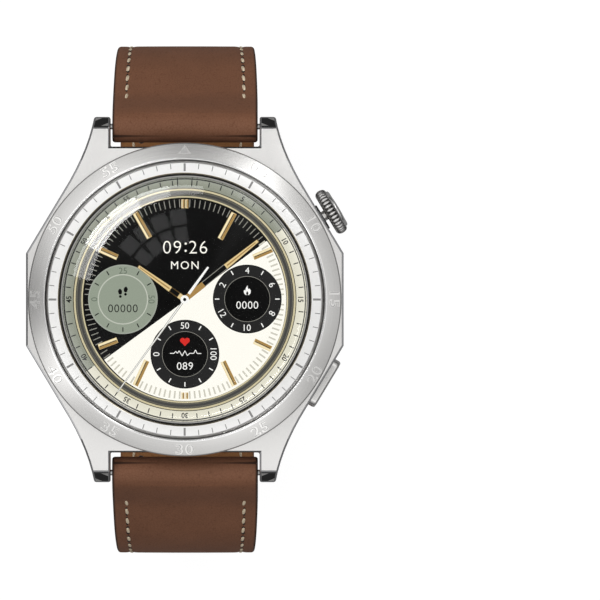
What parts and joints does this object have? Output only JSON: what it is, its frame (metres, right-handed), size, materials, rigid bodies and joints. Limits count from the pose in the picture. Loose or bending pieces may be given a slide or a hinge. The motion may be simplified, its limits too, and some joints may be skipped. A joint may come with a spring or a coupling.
{
  "type": "smartwatch",
  "caption": "Round-dial smartwatch with an octagonal steel case, turning crown, side button and a buckled leather strap.",
  "frame": {"origin": "centre of the flat sensor window on the case back, where the watch rests on the wrist", "axes": "+Z out through the dial, +Y to 12 o'clock, +X to 3 o'clock"},
  "size_m": [0.0475, 0.0752, 0.052],
  "materials": {
    "case_steel": "satin",
    "bezel_steel": "satin",
    "ring_steel": "fine radial brushing, printed ticks",
    "crystal_glass": "polished",
    "display": "lit display",
    "inner_plastic": "matt",
    "circuit_board": "solder mask",
    "foil": "foil",
    "back_plastic": "fine matt",
    "seal_rubber": "matt",
    "small_steel": "turned",
    "crown_steel": "polished",
    "buckle_steel": "polished",
    "contact_gold": "plated",
    "strap_leather": "grained, stitched",
    "strap_lining": "smooth"
  },
  "bodies": {
    "case": {"mid_case": "case_steel", "outer_bezel": "bezel_steel", "tick_ring": "ring_steel", "crystal": "crystal_glass", "display_panel": "display", "display_holder": "inner_plastic", "main_board": "circuit_board", "shield_can": "foil", "battery": "foil", "vibration_motor": "small_steel", "speaker": "inner_plastic", "microphone": "small_steel", "antenna": "contact_gold", "sensor_board": "circuit_board", "back_gasket": "seal_rubber", "crystal_gasket": "seal_rubber", "back_cover": "back_plastic", "sensor_window": "crystal_glass", "back_screw_1": "small_steel", "back_screw_2": "small_steel", "back_screw_3": "small_steel", "back_screw_4": "small_steel", "charge_contact_1": "contact_gold", "charge_contact_2": "contact_gold", "crown_tube": "small_steel", "crown_switch": "inner_plastic", "button_switch": "inner_plastic"},
    "crown_slide": {"crown_seal": "seal_rubber"},
    "crown": {"crown_knob": "crown_steel", "crown_cap": "crown_steel", "crown_stem": "small_steel"},
    "side_button": {"side_button": "crown_steel"},
    "strap_12": {"strap_12_leather": "strap_leather", "strap_12_lining": "strap_lining", "spring_bar_12": "small_steel", "fixed_keeper": "strap_leather", "buckle_bar": "small_steel"},
    "strap_6": {"strap_6_leather": "strap_leather", "strap_6_lining": "strap_lining", "spring_bar_6": "small_steel"},
    "release_12": {"release_pin_12": "small_steel"},
    "release_6": {"release_pin_6": "small_steel"},
    "buckle": {"buckle_frame": "buckle_steel"},
    "prong": {"prong": "buckle_steel"},
    "free_keeper": {"free_keeper": "strap_leather"}
  },
  "joints": [
    {"name": "crown_press", "type": "slide", "parent": "case", "child": "crown_slide", "axis": [0.8572, 0.515, 0], "range_m": [-0.0004, 0], "stiffness_N_per_m": 1200, "springref_m": 0.0004},
    {"name": "crown_spin", "type": "hinge", "parent": "crown_slide", "child": "crown", "pos_m": [0.02016, 0.01211, 0.0059], "axis": [0.8572, 0.515, 0], "continuous": true},
    {"name": "button_press", "type": "slide", "parent": "case", "child": "side_button", "axis": [0.8572, -0.515, 0], "range_m": [-0.00035, 0], "stiffness_N_per_m": 1200, "springref_m": 0.0004},
    {"name": "strap_12_swing", "type": "hinge", "parent": "case", "child": "strap_12", "pos_m": [0, 0.0255, 0.0052], "axis": [1, 0, 0], "range_deg": [0, 75]},
    {"name": "strap_6_swing", "type": "hinge", "parent": "case", "child": "strap_6", "pos_m": [0, -0.0255, 0.0052], "axis": [-1, 0, 0], "range_deg": [0, 75], "deforming": ["strap_6_leather", "strap_6_lining"]},
    {"name": "release_12_slide", "type": "slide", "parent": "strap_12", "child": "release_12", "axis": [1, 0, 0], "range_m": [0, 0.0012], "stiffness_N_per_m": 400, "springref_m": -0.001},
    {"name": "release_6_slide", "type": "slide", "parent": "strap_6", "child": "release_6", "axis": [1, 0, 0], "range_m": [0, 0.0012], "stiffness_N_per_m": 400, "springref_m": -0.001},
    {"name": "buckle_swing", "type": "hinge", "parent": "strap_12", "child": "buckle", "pos_m": [0, 0, -0.03297], "axis": [1, 0, 0], "range_deg": [0, 30]},
    {"name": "prong_swing", "type": "hinge", "parent": "strap_12", "child": "prong", "pos_m": [0, 0, -0.03297], "axis": [1, 0, 0], "range_deg": [0, 60]},
    {"name": "free_keeper_slide", "type": "slide", "parent": "strap_12", "child": "free_keeper", "axis": [0, 1, 0], "range_m": [-0.0032, 0]}
  ],
  "couplings": [
    {"joint": "buckle_swing", "follows": "strap_6_swing", "ratio": 0.4},
    {"joint": "prong_swing", "follows": "strap_6_swing", "ratio": 0.8}
  ]
}
